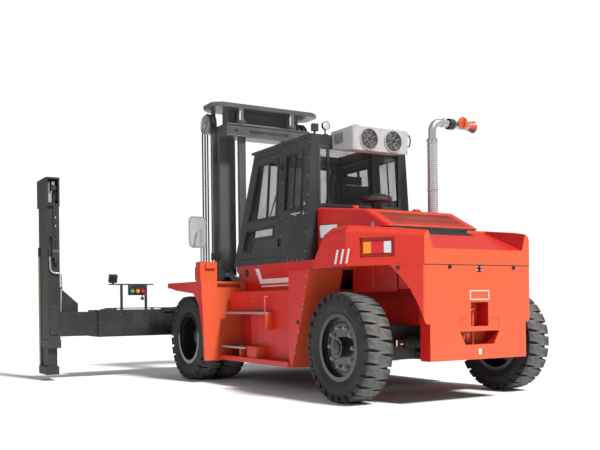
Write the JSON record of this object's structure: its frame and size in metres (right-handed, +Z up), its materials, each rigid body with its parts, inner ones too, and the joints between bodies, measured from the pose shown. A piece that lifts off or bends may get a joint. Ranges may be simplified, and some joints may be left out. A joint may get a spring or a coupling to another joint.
{
  "type": "empty container handler",
  "caption": "Four-wheel container handler with hollow cab, two-stage tilting mast, and a telescopic side spreader with twistlock heads and rest feet.",
  "frame": {"origin": "on the ground, at the middle of the machine's length and width", "axes": "+Z up, the mast and spreader at -Y, the machine's left side at +X"},
  "size_m": [6.06, 5.57, 3.86],
  "materials": {
    "axle": "black paint",
    "cab": "satin paint",
    "chrome": "polished",
    "engine": "cast",
    "glass": "clear",
    "lamp": "clear moulded",
    "lens": "clear moulded",
    "mast": "satin paint",
    "mirror": "polished",
    "paint": "gloss paint",
    "plastic": "moulded",
    "rim": "black paint",
    "spreader": "satin paint",
    "steel": "stainless",
    "tyre": "dusty rubber",
    "white": "satin paint"
  },
  "bodies": {
    "chassis": {"ac_unit": "white", "cab_base": "paint", "cab_glass": "glass", "cab_shell": "cab", "chassis_frame": "paint", "counterweight": "paint", "drive_axle": "axle", "engine_bay": "paint", "engine_block": "engine", "exhaust_stack": "steel", "front_fender_left": "paint", "front_fender_right": "paint", "head_lamps": "lamp", "hood_cowl": "paint", "mirrors": "mirror", "pre_cleaner": "plastic", "rear_cover": "paint", "roof_lamps": "lamp", "seat": "plastic", "side_tank_left": "paint", "side_tank_right": "paint", "steer_axle": "axle", "steering_console": "plastic", "tail_lamps": "lens"},
    "front_wheels_left": {"front_tyres_left": "tyre", "front_rims_left": "rim"},
    "front_wheels_right": {"front_tyres_right": "tyre", "front_rims_right": "rim"},
    "knuckle_left": {"knuckle_left": "axle"},
    "knuckle_right": {"knuckle_right": "axle"},
    "rear_wheel_left": {"rear_tyre_left": "tyre", "rear_rim_left": "rim"},
    "rear_wheel_right": {"rear_tyre_right": "tyre", "rear_rim_right": "rim"},
    "steer_rod": {"steer_rod": "chrome"},
    "hood_lid": {"hood_lid": "paint"},
    "door_left": {"door_left": "cab", "door_glass_left": "glass"},
    "door_right": {"door_right": "cab", "door_glass_right": "glass"},
    "mast_outer": {"mast_outer": "mast", "lift_cylinders": "mast", "rear_strands": "plastic"},
    "mast_inner": {"mast_inner": "mast", "mast_sheaves": "mast", "lift_rods": "chrome", "front_strands": "plastic"},
    "carriage": {"carriage": "spreader", "spreader_frame": "spreader", "signal_bracket": "spreader"},
    "beam_left": {"beam_left": "spreader"},
    "beam_right": {"beam_right": "spreader"},
    "twistlock_left": {"twistlock_left": "spreader"},
    "twistlock_right": {"twistlock_right": "spreader"},
    "tilt_barrels": {"tilt_barrels": "mast"},
    "tilt_rods": {"tilt_rods": "chrome"}
  },
  "joints": [
    {"name": "front_left_roll", "type": "hinge", "parent": "chassis", "child": "front_wheels_left", "pos_m": [1.08, -1.355, 0.56], "axis": [1, 0, 0], "continuous": true},
    {"name": "steer_left", "type": "hinge", "parent": "chassis", "child": "knuckle_left", "pos_m": [0.88, 2.015, 0.56], "axis": [0, 0, 1], "range_deg": [-60, 60]},
    {"name": "rear_left_roll", "type": "hinge", "parent": "knuckle_left", "child": "rear_wheel_left", "pos_m": [1.07, 2.015, 0.56], "axis": [1, 0, 0], "continuous": true},
    {"name": "door_left_swing", "type": "hinge", "parent": "chassis", "child": "door_left", "pos_m": [0.801, 0.072, 1.51], "axis": [-0.067, 0, 0.9978], "range_deg": [0, 80]},
    {"name": "front_right_roll", "type": "hinge", "parent": "chassis", "child": "front_wheels_right", "pos_m": [-1.08, -1.355, 0.56], "axis": [1, 0, 0], "continuous": true},
    {"name": "steer_right", "type": "hinge", "parent": "chassis", "child": "knuckle_right", "pos_m": [-0.88, 2.015, 0.56], "axis": [0, 0, 1], "range_deg": [-60, 60]},
    {"name": "rear_right_roll", "type": "hinge", "parent": "knuckle_right", "child": "rear_wheel_right", "pos_m": [-1.07, 2.015, 0.56], "axis": [1, 0, 0], "continuous": true},
    {"name": "door_right_swing", "type": "hinge", "parent": "chassis", "child": "door_right", "pos_m": [-0.801, 0.072, 1.51], "axis": [-0.067, 0, -0.9978], "range_deg": [0, 80]},
    {"name": "steer_rod_slide", "type": "slide", "parent": "chassis", "child": "steer_rod", "axis": [1, 0, 0], "range_m": [-0.11, 0.11]},
    {"name": "hood_open", "type": "hinge", "parent": "chassis", "child": "hood_lid", "pos_m": [0, 1.27, 2.09278], "axis": [1, 0, 0], "range_deg": [0, 50]},
    {"name": "mast_tilt", "type": "hinge", "parent": "chassis", "child": "mast_outer", "pos_m": [0, -1.62, 0.48], "axis": [1, 0, 0], "range_deg": [-6, 3]},
    {"name": "mast_raise", "type": "slide", "parent": "mast_outer", "child": "mast_inner", "axis": [0, 0, 1], "range_m": [0, 2.4]},
    {"name": "carriage_raise", "type": "slide", "parent": "mast_inner", "child": "carriage", "axis": [0, 0, 1], "range_m": [0, 2.4], "deforming": ["front_strands"]},
    {"name": "spread_left", "type": "slide", "parent": "carriage", "child": "beam_left", "axis": [1, 0, 0], "range_m": [0, 3.066]},
    {"name": "spread_right", "type": "slide", "parent": "carriage", "child": "beam_right", "axis": [-1, 0, 0], "range_m": [0, 3.066]},
    {"name": "twistlock_left_turn", "type": "hinge", "parent": "beam_left", "child": "twistlock_left", "pos_m": [2.926, -2.74, 2.6], "axis": [0, -1, 0], "range_deg": [0, 90]},
    {"name": "twistlock_right_turn", "type": "hinge", "parent": "beam_right", "child": "twistlock_right", "pos_m": [-2.926, -2.74, 2.6], "axis": [0, -1, 0], "range_deg": [0, 90]},
    {"name": "tilt_barrel_swing", "type": "hinge", "parent": "chassis", "child": "tilt_barrels", "pos_m": [0, -1.165, 1.29], "axis": [1, 0, 0], "range_deg": [-3.51, 1.85]},
    {"name": "tilt_rod_slide", "type": "slide", "parent": "tilt_barrels", "child": "tilt_rods", "axis": [0, -0.9732, 0.23], "range_m": [-0.0949, 0.0479]}
  ],
  "couplings": [
    {"joint": "steer_right", "follows": "steer_left", "ratio": 1},
    {"joint": "steer_rod_slide", "follows": "steer_left", "m_per_rad": -0.10494},
    {"joint": "carriage_raise", "follows": "mast_raise", "ratio": 1},
    {"joint": "spread_right", "follows": "spread_left", "ratio": 1},
    {"joint": "twistlock_right_turn", "follows": "twistlock_left_turn", "ratio": 1},
    {"joint": "tilt_barrel_swing", "follows": "mast_tilt", "ratio": 0.55115},
    {"joint": "tilt_rod_slide", "follows": "mast_tilt", "m_per_rad": 0.89629}
  ]
}
